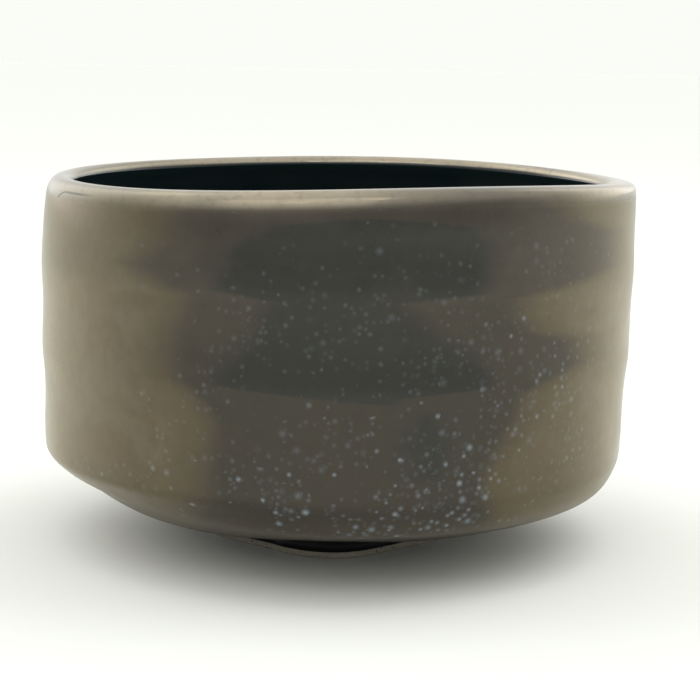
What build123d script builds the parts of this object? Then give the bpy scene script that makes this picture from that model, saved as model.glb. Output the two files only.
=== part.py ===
from build123d import *
import os
import math
import numpy as np

# ---------------------------------------------------------------------------
# Hand-thrown matcha bowl (chawan), half-cylinder form on a low cut foot.
# Frame: +Z up, origin on the table plane under the bowl's centre, +X to the
# right and -Y to the drinking side. Millimetres. The vessel and its glazes are
# turned about the Z axis, as on the wheel, from one shared profile of edges, so
# they meet face to face. The foot is cut by hand, to a worn five-sided plan.
# ---------------------------------------------------------------------------

# driving dimensions
RIM_HEIGHT = 75.2          # crest of the lip above the table
GLAZE = 0.40               # thickness of the fired glaze coats
FOOT_GLAZE = 0.35          # thickness of the glaze on the foot's outer wall
LIP_LINE = 72.0            # height where the lip's glaze meets the wall glazes
RECESS_Z = 3.4             # clay surface inside the foot ring
FOOT_IN_R = 17.6           # inner radius of the foot ring
FOOT_BARE = 1.30           # height of the wiped, unglazed edge
TOP_R = 60.33              # wall's outer radius just under the lip

# Plan of the hand-cut foot: outer radius by azimuth, five worn corners
FOOT_PLAN = [(-172, 25.2), (-164, 25.2), (-154, 24.5), (-145, 23.2), (-134, 22.5), (-124, 22.5),
             (-113, 23.6), (-105, 24.4), (-97, 25.0), (-87, 25.2), (-76, 24.2), (-67, 22.9),
             (-57, 21.9), (-46, 21.5), (-36, 22.3), (-25, 23.6), (-15, 24.3), (0, 23.8),
             (15, 22.8), (30, 22.6), (45, 23.6), (55, 24.2), (70, 23.5), (85, 22.5),
             (100, 22.7), (115, 23.9), (125, 24.5), (140, 23.7), (155, 22.9), (170, 23.6), (180, 24.6)]

# Glazed underside, from under the foot outwards (radius, height)
UNDERSIDE = [(20.0, 3.62), (23.0, 3.95), (26.5, 4.24), (30.0, 4.57), (33.8, 5.05), (37.9, 5.85),
             (41.8, 6.95), (46.0, 8.35), (49.8, 9.95), (52.9, 11.55), (55.4, 13.15), (57.1, 14.7),
             (58.3, 16.2), (59.1, 17.8)]

# Outside wall (radius, height). The swells near 57 and 41 are throwing ridges.
WALL = [(59.53, 19.6), (59.72, 21.8), (59.84, 24.5), (59.81, 27.8), (59.82, 31.1), (59.96, 34.4),
        (60.25, 37.6), (60.44, 40.4), (60.45, 43.4), (60.38, 47.2), (60.46, 50.4), (60.65, 53.6),
        (60.80, 56.6), (60.77, 59.6), (60.62, 63.2), (60.48, 67.2), (60.33, 70.2)]

# Lip: offset from the wall's top radius, and height, over the crest. It turns softly
# outside and tightly inside, where it overhangs the wall a little.
LIP_OUT = (-0.20, LIP_LINE)
LIP = [(-0.42, 72.9), (-0.92, 73.88), (-1.70, 74.68), (-2.80, 75.12), (-3.60, RIM_HEIGHT),
       (-4.50, 75.00), (-5.15, 74.64), (-5.56, 74.12), (-5.70, 73.4), (-5.68, 72.7)]
LIP_IN = (-5.62, LIP_LINE)

# Inside, from the lip down to the floor's centre (radius, height)
INSIDE = [(54.93, 68.6), (55.08, 64.0), (55.18, 58.0), (55.20, 52.0), (55.18, 46.0), (55.12, 40.0),
          (54.92, 34.0), (54.42, 28.5), (53.30, 24.0), (51.17, 20.2), (47.67, 17.0), (42.97, 14.6),
          (36.80, 13.0), (29.00, 11.9), (21.60, 11.2), (16.90, 10.6), (12.90, 9.95), (8.70, 9.62),
          (4.20, 9.52)]
FLOOR_Z = 9.50


def inset(points, t):
    """Points moved a distance t to the left of the direction of travel, into the wall."""
    p = np.array(points, float)
    d = np.gradient(p, axis=0)
    n = np.hypot(d[:, 0], d[:, 1])[:, None]
    return p + t * np.stack([-d[:, 1], d[:, 0]], 1) / n


def spline(points):
    return Edge.make_spline([Vector(float(r), 0, float(z)) for r, z in points])


def line(a, b):
    return Edge.make_line(Vector(float(a[0]), 0, float(a[1])), Vector(float(b[0]), 0, float(b[1])))


def turned(edges):
    """Solid of revolution of a closed profile about the Z axis."""
    return revolve(Face(Wire(edges)), Axis.Z, 360)


def ring_wire(radii, z, plan):
    """Closed curve at one height: the foot's plan moved in or out by an offset."""
    n = len(plan)
    pts = [Vector((r + radii) * math.cos(t), (r + radii) * math.sin(t), z) for t, r in plan]
    return Wire([Edge.make_spline(pts, periodic=True, parameters=[i / n for i in range(n + 1)])])


def plan_radius(deg):
    """Foot's outer radius at an azimuth in degrees."""
    a = np.array([p[0] for p in FOOT_PLAN], float)
    r = np.array([p[1] for p in FOOT_PLAN], float)
    a, r = np.concatenate([a[-3:] - 360, a, a[:3] + 360]), np.concatenate([r[-3:], r, r[:3]])
    w = np.exp(-0.5 * ((deg - a) / 7.0) ** 2) * np.gradient(a)
    return float((w * r).sum() / w.sum())


def foot_loft(profile):
    """Body with the foot's plan at every height, ruled between the heights."""
    plan = [(math.radians(d), plan_radius(d)) for d in range(-180, 180, 12)]
    return Solid.make_loft([ring_wire(o, z, plan) for o, z in profile], ruled=True)


# --- glazed surface, and the clay surface a coat's thickness inside it ----------
out_glaze = UNDERSIDE + WALL + [(TOP_R + LIP_OUT[0], LIP_OUT[1])]
lip_face = [(TOP_R + a, z) for a, z in [LIP_OUT] + LIP + [LIP_IN]]
in_glaze = [(TOP_R + LIP_IN[0], LIP_IN[1])] + INSIDE + [(0.0, FLOOR_Z)]

every = out_glaze[:-1] + lip_face[:-1] + in_glaze
clay_all = inset(every, GLAZE)
n_out, n_lip = len(out_glaze), len(lip_face)
out_clay = [tuple(p) for p in clay_all[:n_out]]
lip_clay = [tuple(p) for p in clay_all[n_out - 1:n_out + n_lip - 1]]
in_clay = [tuple(p) for p in clay_all[n_out + n_lip - 2:]]
out_clay[0] = (UNDERSIDE[0][0], UNDERSIDE[0][1] + GLAZE)
in_clay[-1] = (0.0, FLOOR_Z - GLAZE)

edge_out_clay = spline(out_clay)
edge_lip_clay = spline(lip_clay)
edge_in_clay = spline(in_clay)

# --- underside of the clay inside and under the foot, with the trimmed cone -------
seat = spline([(14.0, RECESS_Z), (16.5, 3.46), (18.4, 3.70), out_clay[0]])
recess = spline([(0.0, 2.35), (1.6, 2.42), (3.6, 2.80), (6.2, 3.26), (10.0, 3.38), (14.0, RECESS_Z)])
axis_clay = line(in_clay[-1], (0.0, 2.35))
stoneware_body = turned([recess, seat, edge_out_clay, edge_lip_clay, edge_in_clay, axis_clay])

# --- foot ring: luted on, cut with a flared edge, wiped clean where it stands -----
FOOT_OUT = [(-0.50, 0.0), (-0.12, 0.30), (0.0, 0.75), (-0.10, FOOT_BARE), (-0.50, 1.80),
            (-0.80, 2.55), (-0.72, 3.4), (-0.45, 4.3), (-0.30, 5.6)]
foot_hole = turned([
    line((0, -1), (FOOT_IN_R + 1.1, -1)), line((FOOT_IN_R + 1.1, -1), (FOOT_IN_R + 0.6, 0)),
    spline([(FOOT_IN_R + 0.6, 0), (FOOT_IN_R + 0.1, 0.6), (FOOT_IN_R - 0.1, 1.5),
            (FOOT_IN_R - 0.6, 2.7), (FOOT_IN_R - 1.5, 4.0)]),
    line((FOOT_IN_R - 1.5, 4.0), (FOOT_IN_R - 1.5, 7.0)), line((FOOT_IN_R - 1.5, 7.0), (0, 7.0)),
    line((0, 7.0), (0, -1))])
foot_solid = foot_loft(FOOT_OUT)
foot_ring = foot_solid - foot_hole - stoneware_body

# --- glaze on the foot's outer wall, down to the bare edge ---------------------------
skin_profile = [(o + (0.10 if z == FOOT_BARE else FOOT_GLAZE), z) for o, z in FOOT_OUT[3:]]
foot_skin = foot_loft(skin_profile)
foot_glaze = foot_skin - foot_solid - stoneware_body

# --- glaze coats --------------------------------------------------------------------
lip_end = line(out_clay[-1], out_glaze[-1])
liner_end = line(in_clay[0], in_glaze[0])
outer_all = turned([spline(out_glaze), lip_end, edge_out_clay, line(out_clay[0], out_glaze[0])])
outer_glaze = outer_all - foot_skin
lip_glaze = turned([spline(lip_face), liner_end, edge_lip_clay, lip_end])
inner_glaze = turned([spline(in_glaze), line(in_glaze[-1], in_clay[-1]), edge_in_clay, liner_end])

NODES = {
    "stoneware_body": stoneware_body,
    "foot_ring": foot_ring,
    "outer_glaze": outer_glaze,
    "inner_glaze": inner_glaze,
    "lip_glaze": lip_glaze,
    "foot_glaze": foot_glaze,
}

if __name__ == "__main__":
    os.makedirs("parts", exist_ok=True)
    for name, shape in NODES.items():
        solids = sorted(shape.solids(), key=lambda p: -p.volume)
        print(name, [round(p.volume, 2) for p in solids])
        if len(solids) != 1 or not solids[0].is_valid:
            raise ValueError(name + " should be one valid solid")
        body = solids[0]
        body.label = name
        print(name, "volume mm3", round(body.volume, 1), body.bounding_box())
        export_step(body, os.path.join("parts", name + ".step"))
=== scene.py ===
import bpy, math
import numpy as np
from mathutils import Matrix, Vector


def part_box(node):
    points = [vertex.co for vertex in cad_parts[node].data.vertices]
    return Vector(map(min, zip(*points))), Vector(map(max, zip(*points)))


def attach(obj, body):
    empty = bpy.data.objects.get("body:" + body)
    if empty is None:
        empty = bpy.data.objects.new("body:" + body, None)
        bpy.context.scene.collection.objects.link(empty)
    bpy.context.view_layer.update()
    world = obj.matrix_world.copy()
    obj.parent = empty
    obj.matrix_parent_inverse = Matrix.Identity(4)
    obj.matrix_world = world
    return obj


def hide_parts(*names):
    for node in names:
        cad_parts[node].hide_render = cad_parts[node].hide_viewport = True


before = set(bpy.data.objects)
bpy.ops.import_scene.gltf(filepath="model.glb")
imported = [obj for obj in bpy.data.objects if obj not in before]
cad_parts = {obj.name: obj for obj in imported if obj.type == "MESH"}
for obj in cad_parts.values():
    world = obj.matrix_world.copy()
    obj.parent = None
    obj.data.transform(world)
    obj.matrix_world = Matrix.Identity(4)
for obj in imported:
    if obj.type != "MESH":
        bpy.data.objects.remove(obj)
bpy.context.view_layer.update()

SC = bpy.context.scene
MM = 0.001

# the bowl's main sizes, read from the frame
WALL_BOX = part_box("outer_glaze")
LIP_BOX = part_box("lip_glaze")
FOOT_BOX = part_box("foot_ring")
FLOOR_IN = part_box("inner_glaze")[0][2] / MM + 0.40      # glazed floor inside, mm
WALL_MAX = WALL_BOX[1][0] / MM                           # widest radius, mm
RIM = LIP_BOX[1][2] / MM                                 # crest of the lip, mm
FOOT_BACK = FOOT_BOX[1][1] / MM                          # foot's reach to the back, mm
GLAZE = 0.40

# ---------------------------------------------------------------- camera
def make_camera():
    cam = bpy.data.cameras.new("camera")
    ob = bpy.data.objects.new("camera", cam)
    SC.collection.objects.link(ob)
    cam.sensor_width = 36.0
    cam.lens = 99.64
    down, roll = math.radians(8.975), math.radians(1.10)
    m = Matrix.Rotation(math.radians(90) - down, 4, "X") @ Matrix.Rotation(roll, 4, "Z")
    m.translation = Vector((0.00289, -0.400, 0.10149))
    ob.matrix_world = m
    cam.clip_start, cam.clip_end = 0.01, 50.0
    SC.camera = ob

make_camera()
SC.view_settings.view_transform = "Standard"
SC.view_settings.look = "None"

# ---------------------------------------------------------------- shape
WALL = np.array([
    (19.4, 59.85, 59.12), (21.8, 60.02, 59.25), (24.5, 60.02, 59.35), (27.8, 59.88, 59.34),
    (31.1, 59.78, 59.40), (34.4, 59.86, 59.60), (37.6, 60.12, 59.94), (40.4, 60.30, 60.20),
    (43.4, 60.28, 60.23), (47.2, 60.15, 60.23), (50.4, 60.21, 60.32), (53.6, 60.43, 60.52),
    (56.6, 60.60, 60.75), (59.6, 60.56, 60.80), (63.2, 60.38, 60.74), (67.2, 60.15, 60.76),
    (70.2, 59.90, 60.76)])
UNDER_Z = [5.0, 7.0, 10.0, 13.0, 16.0]
UNDER_R = [
    [33.8, 34.2, 34.0, 34.4, 34.8, 34.6, 30.2, 34.5],
    [44.2, 43.3, 42.5, 42.4, 42.3, 41.2, 37.6, 41.6],
    [53.2, 51.5, 50.5, 49.5, 48.3, 47.9, 48.4, 49.8],
    [56.7, 56.0, 55.5, 54.5, 53.4, 52.6, 56.6, 56.2],
    [58.3, 58.3, 58.2, 58.0, 57.7, 57.0, 58.5, 58.4]]
# slope of the wall (outwards with height): it leans back slowly above each throwing
# ridge, at 57 and 39 mm, and turns under it quickly below
LEAN = np.array([(18.0, 0.060), (22.0, 0.050), (28.0, 0.050), (33.0, 0.064), (37.2, 0.088), (38.4, 0.070),
                 (40.0, -0.030), (41.6, -0.052), (46.0, -0.030), (51.5, 0.010), (54.8, 0.030),
                 (56.0, 0.022), (57.6, -0.036), (59.2, -0.062), (63.0, -0.054), (66.0, -0.044),
                 (68.5, -0.065), (70.2, -0.105)])
LIP = [(-0.24, 72.0), (-0.46, 72.9), (-0.94, 73.88), (-1.70, 74.70), (-2.85, 75.14), (-3.60, 75.2),
       (-4.50, 75.00), (-5.15, 74.64), (-5.56, 74.12), (-5.70, 73.4), (-5.66, 72.7), (-5.60, 72.0)]
INSIDE = [(-5.40, 68.6), (-5.22, 64.0), (-5.12, 58.0), (-5.10, 52.0), (-5.12, 46.0),
          (-5.18, 40.0), (-5.38, 34.0), (-5.88, 28.5), (-7.00, 24.0), (-9.13, 20.2),
          (-12.63, 17.0), (-17.33, 14.6), (-23.5, 13.0), (-31.3, 11.9), (-38.7, 11.2),
          (-43.4, 10.6), (-47.4, 9.95), (-51.6, 9.62), (-56.1, 9.52), (-60.3, 9.50)]
# hand-cut foot: outer radius by azimuth in degrees
FOOT_PLAN = [(-172, 25.4), (-164, 26.0), (-154, 24.7), (-145, 23.0), (-134, 22.4), (-124, 22.4),
             (-113, 23.7), (-105, 24.4), (-97, 25.1), (-87, 25.3), (-76, 24.3), (-67, 22.7),
             (-57, 21.8), (-46, 21.3), (-36, 22.3), (-25, 23.6), (-15, 24.4), (0, 23.8),
             (15, 23.2), (30, 23.0), (45, 23.4), (55, 23.8), (70, 23.3), (85, 22.8),
             (100, 22.9), (115, 23.6), (125, 23.9), (140, 23.5), (155, 23.4), (170, 24.2)]
WALL_MEAN = 60.3
SEG = 720
TH = np.linspace(0, 2 * math.pi, SEG, endpoint=False)
ONE = np.ones_like(TH)


def around(v, th):
    c = np.fft.rfft(np.asarray(v, float)) / 8.0
    out = c[0].real + 0 * th
    for k in range(1, 5):
        a = 2.0 if k < 4 else 1.0
        out = out + a * (c[k].real * np.cos(k * th) - c[k].imag * np.sin(k * th))
    return out


def pchip(x, y, q):
    h = np.diff(x); hh = h[:, None]; d = (y[1:] - y[:-1]) / hh
    w1, w2 = 2 * hh[1:] + hh[:-1], hh[1:] + 2 * hh[:-1]
    same = d[:-1] * d[1:] > 1e-12
    a, b = np.where(same, d[:-1], 1.0), np.where(same, d[1:], 1.0)
    m = np.where(same, (w1 + w2) / (w1 / a + w2 / b), 0.0)
    t = np.concatenate([d[:1], m, d[-1:]])
    i = np.clip(np.searchsorted(x, q, side="right") - 1, 0, len(x) - 2)
    u = ((q - x[i]) / h[i])[:, None]; g = h[i][:, None]
    return ((1 + 2 * u) * (1 - u) ** 2 * y[i] + u * (1 - u) ** 2 * g * t[i]
            + u * u * (3 - 2 * u) * y[i + 1] + u * u * (u - 1) * g * t[i + 1])


def smooth_rows(a, n):
    """Softens a profile's corners along the profile, keeping its ends."""
    for _ in range(n):
        b = a.copy()
        b[1:-1] = 0.25 * a[:-2] + 0.5 * a[1:-1] + 0.25 * a[2:]
        a = b
    return a


def rim_wave(th):
    return (0.50 * np.cos(th) - 0.26 * np.sin(th) - 0.54 * np.cos(2 * th)
            - 0.37 * np.sin(2 * th) - 0.30 * np.cos(3 * th))


def wave_share(z):
    t = min(max((z - 58.0) / 13.0, 0.0), 1.0)
    return t * t * (3 - 2 * t)


def wall_top(th):
    return 60.33 + 0.43 * np.cos(th)


rng = np.random.default_rng(7)
AMP = rng.normal(size=(6, 7)); PH = rng.uniform(0, 6.28, size=(6, 7))


def wobble(r, z):
    """Slow unevenness of a thrown and hand-cut wall, in mm."""
    out = 0 * TH
    for k in range(1, 6):
        for j in range(5):
            out = out + AMP[k, j] / (k + j + 1.5) * np.cos(k * TH + j * z * 0.06 + PH[k, j])
    return 0.11 * out


def resample(rings, step):
    r = np.array([a for a, b in rings]); z = np.array([b for a, b in rings])
    rm, zm = r.mean(1), z.mean(1)
    s = np.concatenate([[0.0], np.cumsum(np.hypot(np.diff(rm), np.diff(zm)))])
    n = max(int(round(s[-1] / step)), 2)
    q = np.linspace(0, s[-1], n + 1)
    return pchip(s, r, q), pchip(s, z, q)


def foot_plan(th):
    """Foot's outer radius at azimuths th, softened over some 10 degrees."""
    a = np.array([p[0] for p in FOOT_PLAN], float); r = np.array([p[1] for p in FOOT_PLAN], float)
    a3 = np.concatenate([a - 360, a, a + 360]); r3 = np.concatenate([r, r, r])
    q = (np.degrees(th) + 180) % 360 - 180
    w = np.exp(-0.5 * ((q[:, None] - a3[None]) / 5.0) ** 2) * np.gradient(a3)[None]
    return (w * r3[None]).sum(1) / w.sum(1)


PLAN = foot_plan(TH)
PLAN = PLAN * (FOOT_BACK / 22.556)


def front_wall():
    """Height and radius of the wall at the front and back, where the ridges are crispest."""
    z = np.linspace(19.4, 70.2, 160)
    s = np.interp(z, LEAN[:, 0], LEAN[:, 1])
    r = np.concatenate([[0.0], np.cumsum(0.5 * (s[1:] + s[:-1]) * np.diff(z))])
    return z, r + 60.33 - r[-1]


def outer_rings():
    rings = [((PLAN - 0.35), 4.02 * ONE), ((0.35 * PLAN + 0.65 * 29.6), 4.38 * ONE)]
    for z, row in zip(UNDER_Z, UNDER_R):
        rings.append((around(row, TH), z * ONE))
    fz, fr = front_wall()
    crisp = 0.25 + 0.75 * np.sin(TH) ** 2
    zz = np.concatenate([[19.4], np.arange(20.6, 70.0, 0.7), [70.2]])
    left, right = pchip(WALL[:, 0], WALL[:, 1:2], zz)[:, 0], pchip(WALL[:, 0], WALL[:, 2:3], zz)[:, 0]
    for z, l, r in zip(zz, left, right):
        side = 0.5 * (l + r) + 0.5 * (r - l) * np.cos(TH)
        rings.append((side + crisp * (np.interp(z, fz, fr) - 0.5 * (l + r)), z + wave_share(z) * rim_wave(TH)))
    return rings


def surface(rings, step, soften, relief):
    r, z = resample(rings, step)
    r, z = smooth_rows(r, soften), smooth_rows(z, soften)
    for i in range(len(r)):
        r[i] = r[i] + relief(r[i].mean(), z[i].mean())
    return r, z


def offset(r, z, t):
    """Moves a profile (rows along the profile) by t to the left of its direction."""
    dr, dz = np.gradient(r, axis=0), np.gradient(z, axis=0)
    n = np.hypot(dr, dz) + 1e-12
    return r - t * dz / n, z + t * dr / n


def grid_mesh(name, r, z, closed_loop, pole_start=False, pole_end=False, cx=None, cy=None):
    """Mesh of rings. closed_loop joins the last ring to the first; a pole closes a ring to a point."""
    n, m = r.shape
    th = np.linspace(0, 2 * math.pi, m, endpoint=False)
    ox = 0 if cx is None else cx[:, None]
    oy = 0 if cy is None else cy[:, None]
    v = np.stack([ox + r * np.cos(th), oy + r * np.sin(th), z + 0 * th], -1).reshape(-1, 3) * MM
    rows = n if closed_loop else n - 1
    i = np.arange(rows)[:, None]; j = np.arange(m)[None, :]
    i2, j2 = (i + 1) % n, (j + 1) % m
    q = np.stack([i * m + j, i * m + j2, i2 * m + j2, i2 * m + j], -1).reshape(-1, 4)
    faces = [q]
    verts = [v]
    tris = []
    k = len(v)
    if pole_start:
        verts.append(np.array([[0, 0, z[0].mean()]]) * MM)
        a = np.arange(m); tris.append(np.stack([np.full(m, k), (a + 1) % m, a], -1)); k += 1
    if pole_end:
        verts.append(np.array([[0, 0, z[-1].mean()]]) * MM)
        a = np.arange(m) + (n - 1) * m; b = (np.arange(m) + 1) % m + (n - 1) * m
        tris.append(np.stack([np.full(m, k), a, b], -1)); k += 1
    v = np.concatenate(verts)
    t = np.concatenate(tris) if tris else np.zeros((0, 3), int)
    me = bpy.data.meshes.new(name)
    loops = np.concatenate([q.ravel(), t.ravel()]).astype(np.int32)
    starts = np.concatenate([np.arange(len(q)) * 4, len(q) * 4 + np.arange(len(t)) * 3]).astype(np.int32)
    me.vertices.add(len(v)); me.vertices.foreach_set("co", v.astype(np.float32).ravel())
    me.loops.add(len(loops)); me.loops.foreach_set("vertex_index", loops)
    me.polygons.add(len(starts)); me.polygons.foreach_set("loop_start", starts)
    me.update(calc_edges=True)
    me.validate(verbose=False)
    me.polygons.foreach_set("use_smooth", np.ones(len(me.polygons), bool))
    me.set_sharp_from_angle(angle=math.radians(42))
    ob = bpy.data.objects.new(name, me)
    SC.collection.objects.link(ob)
    return ob


def shell(name, outer, inner):
    """Closed skin between two surfaces that have the same rings."""
    (ro, zo), (ri, zi) = outer, inner
    return grid_mesh(name, np.concatenate([ro, ri[::-1]]), np.concatenate([zo, zi[::-1]]), True)


# ---- relief, in mm, as a function of mean radius and height
def relief_wall(r, z):
    t = 2 * math.pi * z / 3.1 - TH                       # one turn of the fingers every 3.1 mm
    line = 0.0012 * np.cos(t + 0.8 * np.sin(TH * 2)) * (z > 18)
    soft = 0.0004 * np.cos(2 * math.pi * z / 1.35 - TH + 1.3) * (z > 18)
    return wobble(r, z) * min(max((r - 30) / 20, 0), 1) + line + soft


def relief_in(r, z):
    s = r if z < 14 else r + (z - 14)
    line = 0.05 * np.cos(2 * math.pi * s / 4.6 - TH)
    return line * min(max((r - 6) / 14, 0), 1)


# one continuous skin from the foot over the rim to the floor inside
top = wall_top(TH)
wave = rim_wave(TH)
out_r = outer_rings()
square = 1 - 0.80 * np.clip(np.cos(TH + 0.15), 0, 1) ** 0.8   # the lip turns tighter on the right
share = [1.0, 1.0, 1.0, 0.75, 0.3] + [0.0] * 7
lip_r = [(top + o * (1 - q + q * square), z + wave) for (o, z), q in zip(LIP, share)]
in_r = []
for o, z in INSIDE:
    share = min(max((z - 20) / 40, 0), 1)
    in_r.append((np.maximum(WALL_MEAN + o + share * (top - WALL_MEAN), 0.35) * ONE,
                 z + wave_share(z) * wave))

Sl = surface([out_r[-1]] + lip_r + [in_r[0]], 0.22, 3, lambda r, z: 0 * TH)
k0 = int(np.argmin(np.abs(Sl[1][:len(Sl[1]) // 2].mean(1) - 72.0)))
k1 = len(Sl[1]) // 2 + int(np.argmin(np.abs(Sl[1][len(Sl[1]) // 2:].mean(1) - 72.0)))
Sl = (Sl[0][k0:k1 + 1], Sl[1][k0:k1 + 1])
So = surface(out_r + [(Sl[0][0], Sl[1][0])], 0.46, 2, relief_wall)
Si = surface([(Sl[0][-1], Sl[1][-1])] + in_r, 0.62, 4, relief_in)
gap = So[0][-1] - Sl[0][0]                               # the seams meet, eased over the last rings
for i in range(14):
    So[0][-1 - i] -= gap * (1 - i / 14.0)
So[1][-1] = Sl[1][0]
gap = Si[0][0] - Sl[0][-1]
for i in range(14):
    Si[0][i] -= gap * (1 - i / 14.0)
Si[1][0] = Sl[1][-1]

R = np.concatenate([So[0], Sl[0][1:], Si[0][1:]])
Z = np.concatenate([So[1], Sl[1][1:], Si[1][1:]])
Rc, Zc = offset(R, Z, GLAZE)
a, b = len(So[0]), len(So[0]) + len(Sl[0]) - 1
Rc[0], Zc[0] = R[0], Z[0] + GLAZE
wall_glaze = shell("wall_glaze", (R[:a], Z[:a]), (Rc[:a], Zc[:a]))
rim_glaze = shell("rim_glaze", (R[a - 1:b], Z[a - 1:b]), (Rc[a - 1:b], Zc[a - 1:b]))

# liner glaze: top skin down to the floor's centre, and back up along the clay
ri, zi, rci, zci = R[b - 1:], Z[b - 1:], np.maximum(Rc[b - 1:], 0.3), Zc[b - 1:]


def liner():
    n, m = ri.shape
    ob = grid_mesh("liner_glaze", np.concatenate([rci[::-1], ri]), np.concatenate([zci[::-1], zi]),
                   False, pole_start=True, pole_end=True)
    return ob


liner_glaze = liner()

# distance along the profile from the line where wall and lip glazes meet, in metres,
# below it negative and over the lip positive
run = np.hypot(np.diff(R.mean(1)), np.diff(Z.mean(1)))
run = np.concatenate([[0.0], np.cumsum(run)])
run = (run - run[a - 1]) * MM
for ob, rows in ((wall_glaze, run[:a]), (rim_glaze, run[a - 1:b])):
    at = ob.data.attributes.new("past_lip_line", "FLOAT", "POINT")
    at.data.foreach_set("value", np.repeat(np.concatenate([rows, rows[::-1]]), SEG).astype(np.float32))

# clay under the glazes, with the bare trimmed recess inside the foot
step = 2
keep = np.unique(np.r_[np.arange(0, len(Rc), step), len(Rc) - 1])
rec = [(0.5, 2.36), (1.5, 2.42), (2.6, 2.60), (3.8, 2.86), (5.2, 3.12), (6.8, 3.30), (9.5, 3.38),
       (13.0, 3.40), (15.4, 3.41), (17.2, 3.55), (18.6, 3.68)]
rr = np.array([p[0] for p in rec])[:, None] * ONE; rz = np.array([p[1] for p in rec])[:, None] * ONE
for t, z in ((0.35, 3.95), (0.65, 4.18), (0.90, 4.36)):
    rr = np.vstack([rr, 18.6 + t * (PLAN - 0.5 - 18.6)]); rz = np.vstack([rz, z * ONE])
rr, rz = resample(list(zip(rr, rz)), 0.30)
trim = 0.05 * np.cos(2 * math.pi * rr / 1.15 - TH) + 0.03 * np.cos(2 * math.pi * rr / 0.61 - TH * 2)
rz = rz + trim * np.clip((rr - 3) / 3, 0, 1) * np.clip((17 - rr) / 2, 0, 1)
clay_body = grid_mesh("clay_body", np.concatenate([rr, Rc[keep]]), np.concatenate([rz, Zc[keep]]),
                      False, pole_start=True, pole_end=True)

# ---- foot ring, cut by hand: slow flats, a flared edge, wiped clean
cut = 0.05 * np.cos(7 * TH + 0.6) + 0.03 * np.cos(11 * TH)
fo = [(-0.60, 0.0), (-0.28, 0.10), (-0.08, 0.32), (0.0, 0.62), (0.0, 0.95), (-0.12, 1.30),
      (-0.50, 1.80), (-0.80, 2.6), (-0.72, 3.4), (-0.40, 4.40)]
fi = [(0.62, 0.0), (0.26, 0.16), (0.10, 0.5), (-0.1, 1.4), (-0.55, 2.6), (-1.1, 3.43)]
FI = 17.6


def foot():
    outer = [(PLAN + o + cut * min(1.0, (4.4 - z) / 2), z * ONE) for o, z in fo]
    ro, zo = resample(outer, 0.12)
    inner = [(FI + o + 0.5 * cut * min(1, (3.4 - z) / 2 if z < 3.4 else 0), z * ONE) for o, z in fi]
    ri_, zi_ = resample(inner, 0.2)
    flat_r = np.array([(ri_[0] * (1 - t) + ro[0] * t) for t in (0.2, 0.4, 0.6, 0.8)])
    flat_z = 0 * flat_r
    top_r = np.array([(ro[-1] * (1 - t) + ri_[-1] * t) for t in (0.25, 0.5, 0.75)])
    top_z = np.array([(zo[-1] * (1 - t) + zi_[-1] * t) for t in (0.25, 0.5, 0.75)]) + 0.02
    r = np.concatenate([ro, top_r, ri_[::-1], flat_r])
    z = np.concatenate([zo, top_z, zi_[::-1], flat_z])
    return grid_mesh("foot", r, z, True), ro, zo


foot_piece, fro, fzo = foot()
sel = np.where(fzo.mean(1) > 1.32)[0]
sk_r, sk_z = fro[sel], fzo[sel]
grow = np.clip(np.arange(len(sel)) / 3.0, 0.15, 1.0)[:, None] * 0.34
drip = 0.12 * np.cos(7 * TH + 1.0) + 0.08 * np.cos(12 * TH)
sk_out = sk_r + grow
sk_z = sk_z.copy()
foot_skin = shell("foot_wall_glaze", (sk_out, np.minimum(sk_z, 4.38)), (sk_r - 0.02, sk_z))

for o, n, s in ((wall_glaze, "outer_glaze", "satin_iron_glaze"), (rim_glaze, "lip_glaze", "lip_gloss_glaze"),
                (liner_glaze, "inner_glaze", "gloss_black_glaze"), (clay_body, "stoneware_body", "bare_stoneware"),
                (foot_piece, "foot_ring", "foot_stoneware"), (foot_skin, "foot_glaze", "foot_black_glaze")):
    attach(o, "root"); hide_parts(n)


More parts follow.
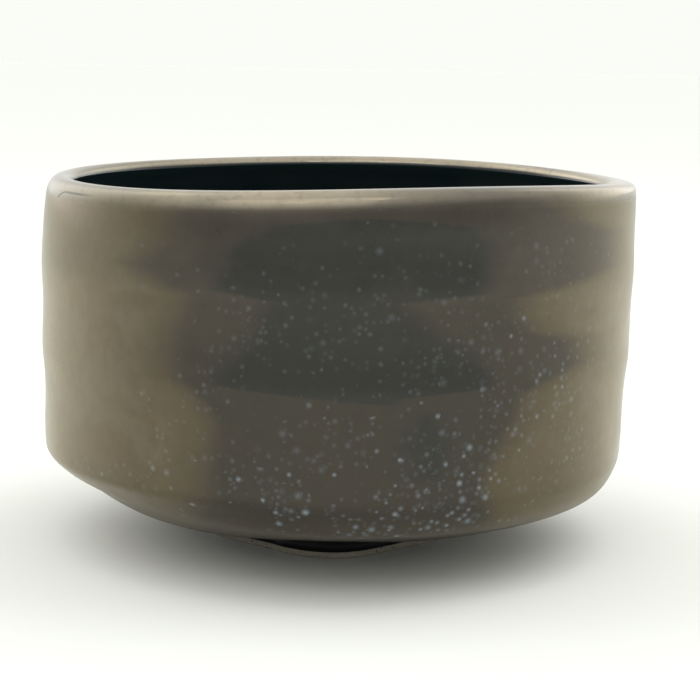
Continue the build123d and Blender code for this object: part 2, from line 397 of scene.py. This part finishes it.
# ---------------------------------------------------------------- materials
class Nodes:
    """Small helper for building node trees."""
    def __init__(self, name, world=False):
        self.owner = bpy.data.worlds.new(name) if world else bpy.data.materials.new(name)
        self.owner.use_nodes = True
        self.t = self.owner.node_tree
        self.t.nodes.clear()

    def new(self, kind, **props):
        n = self.t.nodes.new(kind)
        for k, v in props.items():
            setattr(n, k, v)
        return n

    def put(self, sock, v):
        if isinstance(v, bpy.types.NodeSocket):
            self.t.links.new(v, sock)
        else:
            sock.default_value = v

    def math(self, op, a, b=0.0, c=0.0, clamp=False):
        n = self.new("ShaderNodeMath", operation=op, use_clamp=clamp)
        for s, v in zip(n.inputs, (a, b, c)):
            self.put(s, v)
        return n.outputs[0]

    def ramp(self, f, stops, mode="EASE"):
        n = self.new("ShaderNodeValToRGB")
        n.color_ramp.interpolation = mode
        e = n.color_ramp.elements
        while len(e) < len(stops):
            e.new(0.5)
        for k, (p, c) in zip(e, stops):
            k.position = p
            k.color = c if len(c) == 4 else (*c, 1)
        self.put(n.inputs[0], f)
        return n.outputs[0]

    def curve(self, f, pts, lo, hi):
        """Broken line through (position, value) points, values between lo and hi."""
        n = self.new("ShaderNodeValToRGB")
        n.color_ramp.interpolation = "LINEAR"
        e = n.color_ramp.elements
        e[0].position, e[1].position = pts[0][0], pts[-1][0]
        for k, (p, v) in zip(e, (pts[0], pts[-1])):
            k.color = ((v - lo) / (hi - lo),) * 3 + (1,)
        for p, v in pts[1:-1]:
            e.new(p).color = ((v - lo) / (hi - lo),) * 3 + (1,)
        self.put(n.inputs[0], f)
        return self.remap(n.outputs[0], 0.0, 1.0, lo * MM, hi * MM, smooth=False)

    def remap(self, f, a, b, lo=0.0, hi=1.0, smooth=True):
        n = self.new("ShaderNodeMapRange", interpolation_type="SMOOTHSTEP" if smooth else "LINEAR")
        for s, v in zip(n.inputs, (f, a, b, lo, hi)):
            self.put(s, v)
        return n.outputs[0]

    def mix(self, f, a, b, blend="MIX"):
        n = self.new("ShaderNodeMix", data_type="RGBA", blend_type=blend)
        self.put(n.inputs[0], f); self.put(n.inputs[6], a); self.put(n.inputs[7], b)
        return n.outputs[2]

    def noise(self, vec, scale, detail=3.0, rough=0.5, distort=0.0):
        n = self.new("ShaderNodeTexNoise")
        self.put(n.inputs["Vector"], vec)
        for k, v in (("Scale", scale), ("Detail", detail), ("Roughness", rough), ("Distortion", distort)):
            n.inputs[k].default_value = v
        return n.outputs[0]

    def voronoi(self, vec, scale, rand=1.0):
        n = self.new("ShaderNodeTexVoronoi", feature="F1")
        self.put(n.inputs["Vector"], vec)
        n.inputs["Scale"].default_value = scale
        n.inputs["Randomness"].default_value = rand
        return n.outputs["Distance"], n.outputs["Color"]

    def object(self):
        return self.new("ShaderNodeTexCoord").outputs["Object"]

    def xyz(self, v):
        n = self.new("ShaderNodeSeparateXYZ"); self.put(n.inputs[0], v)
        return n.outputs

    def scaled(self, v, s, off=(0, 0, 0)):
        n = self.new("ShaderNodeMapping"); self.put(n.inputs[0], v)
        n.inputs["Scale"].default_value = s; n.inputs["Location"].default_value = off
        return n.outputs[0]

    def bump(self, height, dist, strength=1.0, normal=None):
        n = self.new("ShaderNodeBump"); self.put(n.inputs["Height"], height)
        n.inputs["Distance"].default_value = dist; n.inputs["Strength"].default_value = strength
        if normal is not None:
            self.put(n.inputs["Normal"], normal)
        return n.outputs[0]

    def principled(self, **kw):
        n = self.new("ShaderNodeBsdfPrincipled")
        for k, v in kw.items():
            self.put(n.inputs[k.replace("_", " ")], v)
        out = self.new("ShaderNodeOutputMaterial")
        self.t.links.new(n.outputs[0], out.inputs[0])
        return n


def rgba(r, g, b):
    return (r, g, b, 1.0)


def bell(N, x, centre, width):
    """Smooth bump of a coordinate about a centre, 1 at the centre and 0 beyond the width."""
    d = N.math("DIVIDE", N.math("SUBTRACT", x, centre), width)
    return N.math("SUBTRACT", 1.0, N.math("MULTIPLY", d, d), clamp=True)


def iron_colour(N, P, x, y, z):
    """Colour of the iron glaze without its crystals, shared by the wall and the lip."""
    broad = N.noise(P, 20.0, 4.0, 0.55, 0.4)
    blot = N.noise(P, 60.0, 5.0, 0.62, 0.3)
    fine = N.noise(P, 420.0, 4.0, 0.6)
    streak = N.noise(N.scaled(P, (60.0, 60.0, 300.0)), 1.0, 3.0, 0.5)
    wander = N.math("MULTIPLY", N.math("SUBTRACT", broad, 0.5), 0.42)
    # where the glaze turned bronze in the kiln: a broad patch on the left, a smaller one on the
    # right that widens downwards, both stepping at the throwing ridges, and thin clouds behind
    h = N.math("DIVIDE", z, 0.080)
    xw = N.math("ADD", x, N.math("MULTIPLY", wander, 0.022))
    left_x = N.curve(h, [(q / 80.0, v) for q, v in (
        (15, -25.5), (20, -24.0), (33, -23.5), (37, -25.5), (39.5, -28.0), (41, -30.5), (48, -31.0), (53, -29.0),
        (56.2, -28.0), (58, -32.0), (61, -37.0), (64, -33.0), (67, -30.5), (73, -30.0))], -40, 0)
    right_x = N.curve(h, [(q / 80.0, v) for q, v in (
        (15, 32.0), (18, 31.0), (25, 31.0), (30, 34.0), (34, 37.0), (38.5, 38.0), (40.5, 43.0), (43, 49.0),
        (47.5, 47.0), (50, 39.0), (53, 35.0), (56.3, 35.0), (58, 43.0), (60.5, 54.0), (67, 54.0), (70, 44.0),
        (73, 41.0))], 20, 60)
    left = N.remap(N.math("SUBTRACT", xw, left_x), 0.0040, -0.0075)
    right = N.remap(N.math("SUBTRACT", xw, right_x), -0.0050, 0.0070)
    bronze = N.math("MAXIMUM", left, right)
    behind = N.math("MULTIPLY", N.remap(y, 0.0, 0.03), N.remap(broad, 0.50, 0.62))
    bronze = N.math("MAXIMUM", bronze, N.math("MULTIPLY", behind, 0.8))
    low = N.remap(z, 0.044, 0.012)
    ochre = N.math("MULTIPLY", N.remap(N.math("ADD", blot, N.math("MULTIPLY", low, 0.16)), 0.47, 0.60), bronze)
    # a warmer seam runs along the border of the bronze, strongest low down
    rim_l = N.math("MULTIPLY", N.math("MULTIPLY", left, N.math("SUBTRACT", 1.0, left)), 4.0)
    rim_r = N.math("MULTIPLY", N.math("MULTIPLY", right, N.math("SUBTRACT", 1.0, right)), 4.0)
    seam = N.math("MULTIPLY", N.math("ADD", rim_l, rim_r, clamp=True), N.remap(z, 0.056, 0.026, 0.25, 0.75))
    ochre = N.math("MAXIMUM", N.math("MULTIPLY", ochre, 0.62), N.math("MULTIPLY", seam, N.remap(blot, 0.36, 0.55, 0.35, 1.0)))
    # darkest and greyest in a lens under the lip and a second one widening down to the lower
    # ridge, brown between and below them
    mid = N.curve(h, [(q / 80.0, v) for q, v in (
        (20, 18.0), (37, 18.0), (39, 4.5), (45, 4.0), (50, 3.0), (56.5, 1.0), (58, 2.0), (64, 4.0), (69.6, 7.5),
        (71.5, 8.0))], -10, 30)
    half = N.curve(h, [(q / 80.0, v) for q, v in (
        (20, -7.0), (24, 1.5), (30, 3.5), (35.5, 1.5), (37.5, -4.0), (39.2, 10.0), (40.4, 25.0), (41.5, 26.0),
        (45, 22.5), (50, 18.5), (56.2, 13.5), (57.6, 25.0), (60, 25.0), (66, 23.5), (69.6, 18.5), (70.6, 9.0),
        (71.5, -8.0))], -10, 30)
    dark = N.remap(N.math("SUBTRACT", N.math("ABSOLUTE", N.math("SUBTRACT", xw, mid)), half), 0.0045, -0.0045)
    dark = N.math("MULTIPLY", dark, N.remap(y, 0.02, -0.01))
    dark = N.math("MAXIMUM", dark, N.math("MULTIPLY", N.remap(y, -0.005, 0.02), N.remap(broad, 0.48, 0.38)))
    brown = N.math("SUBTRACT", 1.0, dark)
    brown = N.math("ADD", brown, N.remap(blot, 0.42, 0.66, -0.18, 0.22), clamp=True)
    high = N.remap(z, 0.0545, 0.0595)                              # above the upper ridge
    top = N.remap(z, 0.0635, 0.0700)                               # close under the lip
    grey = N.mix(high, rgba(0.0325, 0.0338, 0.0290), rgba(0.0400, 0.0412, 0.0362))
    grey = N.mix(top, grey, rgba(0.0570, 0.0570, 0.0500))
    warm = N.mix(N.remap(z, 0.0380, 0.0425), rgba(0.0490, 0.0420, 0.0338), rgba(0.0570, 0.0490, 0.0395))
    warm = N.mix(high, warm, rgba(0.0790, 0.0685, 0.0555))
    col = N.mix(brown, grey, warm)
    flank_sheen = N.remap(N.math("ABSOLUTE", N.math("SUBTRACT", x, 0.003)), 0.037, 0.056)     # painted sheen: lighter at the left and right flanks, standing in for grazing reflection
    low_bronze = N.mix(flank_sheen, rgba(0.121, 0.100, 0.064), rgba(0.178, 0.150, 0.101))
    col = N.mix(bronze, col, N.mix(high, low_bronze, rgba(0.130, 0.109, 0.071)))
    # the ochre is also lightened at the flanks as painted sheen
    col = N.mix(ochre, col, N.mix(flank_sheen, rgba(0.102, 0.080, 0.046), rgba(0.160, 0.132, 0.084)))
    col = N.mix(N.remap(fine, 0.35, 0.75, 0.0, 0.30), col, N.mix(1.0, col, rgba(0.74, 0.74, 0.76), "MULTIPLY"))
    col = N.mix(N.remap(streak, 0.4, 0.7, 0.0, 0.10), col, N.mix(1.0, col, rgba(1.22, 1.18, 1.10), "MULTIPLY"))
    # towards the lip it runs thinner and brighter; painted shade darkens this lip colour at the right of the front
    # and on the left flank, away from the lamps' highlight
    past = N.new("ShaderNodeAttribute", attribute_name="past_lip_line").outputs["Fac"]
    over = N.remap(N.math("ADD", past, N.math("MULTIPLY", wander, 0.0012)), -0.0010, 0.0030)
    n1 = N.noise(P, 60.0, 4.0, 0.55, 0.6)
    rich = N.mix(N.remap(n1, 0.35, 0.68), rgba(0.330, 0.292, 0.222), rgba(0.405, 0.352, 0.262))
    lip_shade_right_front = N.math("MULTIPLY", bell(N, x, 0.027, 0.026), N.remap(y, 0.0, -0.02))
    rich = N.mix(N.math("MULTIPLY", lip_shade_right_front, 0.85), rich, rgba(0.155, 0.142, 0.117))
    # painted shade on the lip's left flank
    rich = N.mix(N.remap(x, -0.022, -0.044, 0.0, 0.85), rich, rgba(0.210, 0.190, 0.140))
    col = N.mix(over, col, rich)
    return col, blot, fine, past, over


def satin_iron():
    N = Nodes("satin_iron_glaze")
    P = N.object(); x, y, z = N.xyz(P)
    az = N.math("ARCTAN2", y, x)                                  # azimuth, front is -pi/2
    micro = N.noise(P, 2600.0, 2.0, 0.6)
    col, blot, fine, past, over = iron_colour(N, P, x, y, z)
    # on the hip the glaze is thin over the clay and shows browner
    hip = N.remap(z, 0.0175, 0.0085)
    col = N.mix(N.math("MULTIPLY", hip, 0.55), col, rgba(0.108, 0.088, 0.062))

    # pale crystals that grew in the glaze as it cooled: faint ones over the whole front,
    # big ones low at its centre, a cluster to the right
    def zone(az0, aw, z0, zw, power=1.0):
        return N.math("MULTIPLY", bell(N, az, az0, aw), bell(N, z, z0, zw))

    cloud = N.remap(N.noise(P, 70.0, 2.0), 0.34, 0.62, 0.25, 1.45)

    def specks(scale, r0, r1, dens, off, soft):
        d, c = N.voronoi(N.scaled(P, (1, 1, 1), off), scale)
        cr, cg, cb = N.xyz(c)
        rad = N.remap(cg, 0.0, 1.0, r0, r1, smooth=False)
        spot = N.math("POWER", N.math("SUBTRACT", 1.0, N.math("DIVIDE", d, rad), clamp=True), soft)
        keep = N.math("LESS_THAN", cr, N.math("MULTIPLY", dens, cloud))
        return N.math("MULTIPLY", N.math("MULTIPLY", spot, keep), N.remap(cb, 0, 1, 0.30, 1.0, smooth=False))

    veil = N.math("ADD", N.math("MULTIPLY", zone(-1.28, 0.98, 0.036, 0.036), 0.62),
                  N.math("MULTIPLY", zone(2.0, 1.1, 0.020, 0.03), 0.6))
    veil = N.math("ADD", veil, N.math("MULTIPLY", zone(-2.45, 0.60, 0.016, 0.010), 0.40))
    bold = N.math("ADD", N.math("MULTIPLY", zone(-1.36, 0.42, 0.0165, 0.010), 1.45),
                  N.math("MULTIPLY", zone(-0.84, 0.26, 0.036, 0.022), 0.42))
    bold = N.math("ADD", bold, N.math("MULTIPLY", zone(-1.18, 0.50, 0.026, 0.018), 0.42))
    bold = N.math("ADD", bold, N.math("MULTIPLY", zone(-1.90, 0.50, 0.0185, 0.008), 0.40))
    bold = N.math("ADD", bold, N.math("MULTIPLY", zone(1.6, 0.8, 0.018, 0.018), 0.50))
    a1 = specks(400.0, 0.24, 0.46, N.math("MULTIPLY", bold, 0.55), (0.013, 0.002, 0.007), 1.7)
    a2 = specks(640.0, 0.28, 0.54, N.math("MULTIPLY", bold, 0.65), (0.003, 0.011, 0.017), 1.7)
    a3 = specks(420.0, 0.28, 0.52, N.math("MULTIPLY", veil, 0.70), (0.021, 0.005, 0.012), 1.8)
    a4 = specks(760.0, 0.34, 0.60, N.math("MULTIPLY", veil, 1.1), (0.001, 0.017, 0.003), 1.6)
    sp = N.math("MAXIMUM", N.math("MAXIMUM", a1, N.math("MULTIPLY", a2, 0.75)),
                N.math("MAXIMUM", N.math("MULTIPLY", a3, 0.31), N.math("MULTIPLY", a4, 0.22)))
    col = N.mix(N.math("MULTIPLY", sp, 0.90, clamp=True), col, rgba(0.265, 0.325, 0.385))
    rough = N.math("ADD", N.remap(blot, 0.3, 0.7, 0.27, 0.33), N.math("MULTIPLY", sp, 0.15))
    rough = N.math("SUBTRACT", rough, N.math("MULTIPLY", over, 0.13))
    rough = N.math("ADD", rough, N.math("MULTIPLY", hip, 0.12))
    metal = N.math("SUBTRACT", N.math("SUBTRACT", 0.80, N.math("MULTIPLY", hip, 0.25)), N.math("MULTIPLY", sp, 0.75), clamp=True)
    h = N.math("ADD", N.math("MULTIPLY", fine, 0.6), N.math("MULTIPLY", micro, 0.35))
    nrm = N.bump(h, 0.00003, 0.45)
    nrm = N.bump(sp, 0.00005, 0.4, nrm)
    p = N.principled(Base_Color=col, Metallic=metal, Roughness=rough, IOR=1.6, Normal=nrm)
    p.inputs["Specular Tint"].default_value = rgba(1.0, 0.945, 0.83)
    p.inputs["Coat Weight"].default_value = 0.22
    p.inputs["Coat Roughness"].default_value = 0.15
    return N.owner


def lip_gloss():
    N = Nodes("lip_gloss_glaze")
    P = N.object(); x, y, z = N.xyz(P)
    n2 = N.noise(P, 700.0, 3.0, 0.5)
    col, blot, fine, past, over = iron_colour(N, P, x, y, z)
    col = N.mix(N.remap(n2, 0.5, 0.72, 0.0, 0.22), col, rgba(0.09, 0.078, 0.062))
    # the black liner laps up to the inner turn of the lip
    inner = N.remap(N.math("ADD", past, N.math("MULTIPLY", N.math("SUBTRACT", blot, 0.5), 0.0005)), 0.00765, 0.00805)
    col = N.mix(inner, col, rgba(0.0058, 0.0120, 0.0125))
    nrm = N.bump(N.math("ADD", blot, N.math("MULTIPLY", n2, 0.2)), 0.00005, 0.30)
    # two short creases on the lip, each a small groove in the bump with a painted dark reflection line along it: a
    # hooked one on the outer face at the left, a long one along the inner edge at the back right
    az = N.math("ARCTAN2", y, x)
    t = N.math("ADD", az, 2.58)
    hook = N.math("MAXIMUM", N.math("SUBTRACT", -0.055, t), 0.0)
    hook = N.math("MULTIPLY", N.math("MULTIPLY", hook, hook), 0.25)
    crease_and_reflection = N.math("MULTIPLY", bell(N, N.math("ADD", past, hook), 0.00135, 0.00030),
                  N.remap(N.math("ABSOLUTE", N.math("ADD", t, 0.03)), 0.20, 0.05))
    t2 = N.math("SUBTRACT", az, 0.62)
    back_crease_and_reflection = N.math("MULTIPLY", bell(N, N.math("ADD", past, N.math("MULTIPLY", t2, 0.0012)), 0.0060, 0.00028),
                   N.remap(N.math("ABSOLUTE", t2), 0.30, 0.10))
    crease_and_reflection = N.math("MAXIMUM", crease_and_reflection, N.math("MULTIPLY", back_crease_and_reflection, 0.8))
    # painted dark reflection along the two creases
    col = N.mix(N.math("MULTIPLY", crease_and_reflection, 0.80), col, rgba(0.036, 0.035, 0.033))
    nrm = N.bump(N.math("SUBTRACT", 1.0, crease_and_reflection), 0.00012, 0.6, nrm)
    rough = N.math("SUBTRACT", N.remap(blot, 0.3, 0.7, 0.27, 0.33), N.math("MULTIPLY", over, 0.13))
    rough = N.math("MULTIPLY", rough, N.remap(inner, 0.0, 1.0, 1.0, 0.55))
    N.principled(Base_Color=col, Metallic=N.remap(inner, 0, 1, 0.80, 0.0), Roughness=rough, IOR=1.55, Normal=nrm)
    return N.owner


def gloss_black(name, base, rough, shine=0.5):
    N = Nodes(name)
    P = N.object(); x, y, z = N.xyz(P)
    n1 = N.noise(P, 40.0, 4.0, 0.5, 0.5)
    n2 = N.noise(P, 350.0, 3.0, 0.55)
    col = N.mix(N.remap(n1, 0.35, 0.7), rgba(*base), rgba(base[0] * 0.45, base[1] * 0.7, base[2] * 0.8))
    col = N.mix(N.remap(n2, 0.62, 0.78, 0.0, 0.35), col, rgba(0.016, 0.014, 0.010))
    nrm = N.bump(N.math("ADD", N.math("MULTIPLY", n1, 2.0), N.math("MULTIPLY", n2, 0.25)), 0.0001, 0.35)
    p = N.principled(Base_Color=col, Roughness=N.remap(n1, 0.3, 0.7, rough, rough + 0.06), IOR=1.5,
                     Normal=nrm)
    p.inputs["Specular IOR Level"].default_value = shine
    return N.owner


def bare_clay(name, a, b):
    N = Nodes(name)
    P = N.object(); x, y, z = N.xyz(P)
    n1 = N.noise(P, 90.0, 5.0, 0.6)
    grit = N.noise(P, 1500.0, 4.0, 0.65)
    d, c = N.voronoi(P, 900.0)
    cr, cg, cb = N.xyz(c)
    iron = N.math("MULTIPLY", N.math("LESS_THAN", d, 0.26), N.math("LESS_THAN", cr, 0.28))
    col = N.mix(n1, rgba(*a), rgba(*b))
    col = N.mix(N.remap(grit, 0.35, 0.7, 0.0, 0.5), col, N.mix(1.0, col, rgba(0.6, 0.58, 0.55), "MULTIPLY"))
    col = N.mix(N.math("MULTIPLY", iron, 0.75), col, rgba(0.035, 0.022, 0.014))
    h = N.math("ADD", grit, N.math("MULTIPLY", n1, 0.5))
    N.principled(Base_Color=col, Roughness=N.remap(grit, 0.3, 0.7, 0.72, 0.9), IOR=1.5,
                 Normal=N.bump(h, 0.00012, 0.7))
    return N.owner


def give(ob, mat):
    ob.data.materials.clear()
    ob.data.materials.append(mat)


give(wall_glaze, satin_iron())
give(rim_glaze, lip_gloss())
give(liner_glaze, gloss_black("gloss_black_glaze", (0.0088, 0.0132, 0.0136), 0.09))
give(foot_skin, gloss_black("foot_black_glaze", (0.0025, 0.0035, 0.0035), 0.42, 0.25))
give(clay_body, bare_clay("bare_stoneware", (0.20, 0.155, 0.105), (0.29, 0.235, 0.17)))
give(foot_piece, bare_clay("foot_stoneware", (0.29, 0.27, 0.215), (0.38, 0.355, 0.29)))

# ---------------------------------------------------------------- stage and light
def make_floor():
    n, rings = 96, [0.0, 0.1, 0.25, 0.5, 1.0, 2.0, 4.0, 8.0]
    th = np.linspace(0, 2 * math.pi, n, endpoint=False)
    v = [(0, 0, 0)]
    for r in rings[1:]:
        v += [(r * math.cos(t), r * math.sin(t), 0) for t in th]
    f = [(0, 1 + i, 1 + (i + 1) % n) for i in range(n)]
    for k in range(len(rings) - 2):
        a0, b0 = 1 + k * n, 1 + (k + 1) * n
        f += [(a0 + i, b0 + i, b0 + (i + 1) % n, a0 + (i + 1) % n) for i in range(n)]
    me = bpy.data.meshes.new("floor"); me.from_pydata(v, [], f); me.update()
    ob = bpy.data.objects.new("floor", me); SC.collection.objects.link(ob)
    N = Nodes("floor_paper")
    P = N.object()
    N.principled(Base_Color=N.mix(N.noise(P, 3.0, 2.0), rgba(0.782, 0.801, 0.768), rgba(0.792, 0.811, 0.778)),
                 Roughness=0.9, IOR=1.3)
    give(ob, N.owner)


def area(name, loc, target, size, power, colour=(1, 1, 1), glossy=True):
    l = bpy.data.lights.new(name, "AREA"); l.shape = "RECTANGLE"
    l.size, l.size_y = size; l.energy = power; l.color = colour
    ob = bpy.data.objects.new(name, l); SC.collection.objects.link(ob)
    ob.location = loc
    ob.visible_glossy = glossy                   # the side fills light the floor without mirroring in the lip
    ob.rotation_euler = (Vector(target) - Vector(loc)).to_track_quat("-Z", "Y").to_euler()


def make_world():
    N = Nodes("studio", world=True)
    g = N.new("ShaderNodeTexCoord").outputs["Generated"]
    x, y, z = N.xyz(g)
    # bright panels to both sides and a little behind, a pale sweep straight behind,
    # a dim room behind the viewer, a soft ceiling
    ax = N.math("ABSOLUTE", x)
    panels = N.math("MULTIPLY", N.remap(ax, 0.22, 0.60), N.remap(y, 0.02, 0.60))
    s = N.remap(panels, 0.0, 1.0, 1.06, 2.02, smooth=False)
    front = N.math("MULTIPLY", N.remap(y, 0.35, -0.75), N.remap(z, 0.36, 0.02))
    s = N.math("MULTIPLY", s, N.remap(front, 0.0, 1.0, 1.0, 0.14, smooth=False))
    s = N.math("MULTIPLY", s, N.remap(z, 0.40, 0.95, 1.0, 1.04))
    light = N.new("ShaderNodeBackground"); light.inputs[0].default_value = rgba(1.0, 1.0, 0.975)
    N.put(light.inputs[1], s)
    seen = N.new("ShaderNodeBackground"); seen.inputs[0].default_value = rgba(0.955, 0.980, 0.928)
    seen.inputs[1].default_value = 1.0
    mix = N.new("ShaderNodeMixShader")
    N.put(mix.inputs[0], N.new("ShaderNodeLightPath").outputs["Is Camera Ray"])
    N.t.links.new(light.outputs[0], mix.inputs[1]); N.t.links.new(seen.outputs[0], mix.inputs[2])
    out = N.new("ShaderNodeOutputWorld"); N.t.links.new(mix.outputs[0], out.inputs[0])
    SC.world = N.owner


make_floor()
make_world()
area("window", (-0.45, -1.30, 1.05), (0, 0, 0.05), (1.8, 1.1), 3.7, (1.0, 0.975, 0.93))
area("side_left", (-0.60, 0.16, 0.75), (-0.38, 0.16, 0.0), (0.5, 0.9), 1.5, glossy=False)
area("side_right", (0.60, 0.16, 0.75), (0.38, 0.16, 0.0), (0.5, 0.9), 2.2, glossy=False)
area("lamp_left", (-0.70, -1.90, 1.70), (0, 0, 0.05), (0.12, 0.12), 0.36, (1.0, 0.88, 0.72))
area("lamp_right", (0.50, -1.90, 1.70), (0, 0, 0.05), (0.12, 0.12), 0.36, (1.0, 0.88, 0.72))
